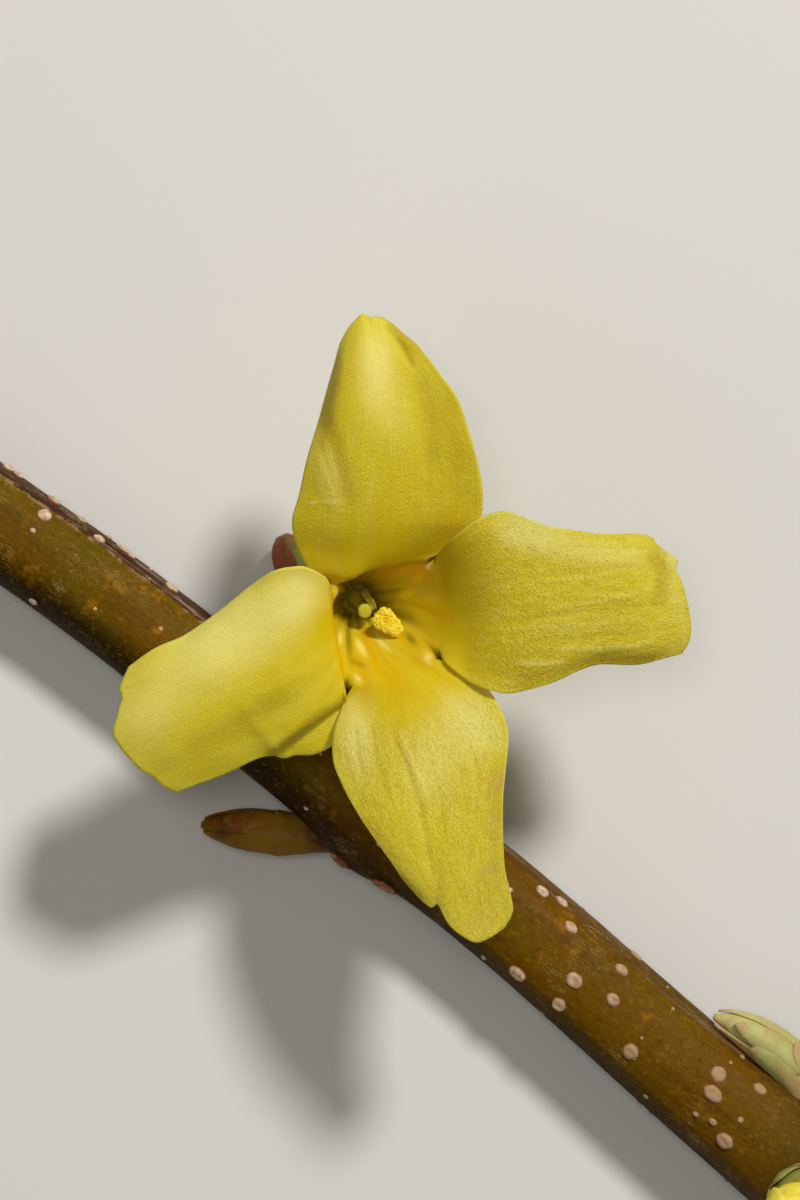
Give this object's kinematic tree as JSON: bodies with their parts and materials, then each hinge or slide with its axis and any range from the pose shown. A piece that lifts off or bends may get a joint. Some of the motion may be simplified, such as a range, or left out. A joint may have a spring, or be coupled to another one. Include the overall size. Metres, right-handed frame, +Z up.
{
  "type": "forsythia branch",
  "caption": "Cut forsythia twig lying down, with an open yellow four-lobed flower and scaly buds at its nodes.",
  "frame": {"origin": "on the ground, on the flat under the twig halfway along it", "axes": "+X along the twig toward its thick cut end, +Y across it toward the flower, +Z up where the flower looks"},
  "size_m": [0.0815, 0.028, 0.0164],
  "materials": {
    "bark": "satin",
    "petal": "satin",
    "calyx": "satin",
    "pistil": "satin",
    "anther": "matte",
    "anther_behind": "matte",
    "stalk_scales": "satin",
    "back_scales": "satin",
    "side_scales": "satin",
    "upper_scales": "satin",
    "furled_petal": "satin",
    "cup_scales": "satin"
  },
  "bodies": {
    "root": {"twig": "bark", "corolla": "petal", "calyx": "calyx", "pistil": "pistil", "stamen_1": "anther", "stamen_2": "anther_behind", "flower_bud_scales": "stalk_scales", "back_bud": "back_scales", "side_bud": "side_scales", "upper_bud": "upper_scales", "front_bud_petals": "furled_petal", "front_bud_cup": "cup_scales"}
  },
  "joints": []
}
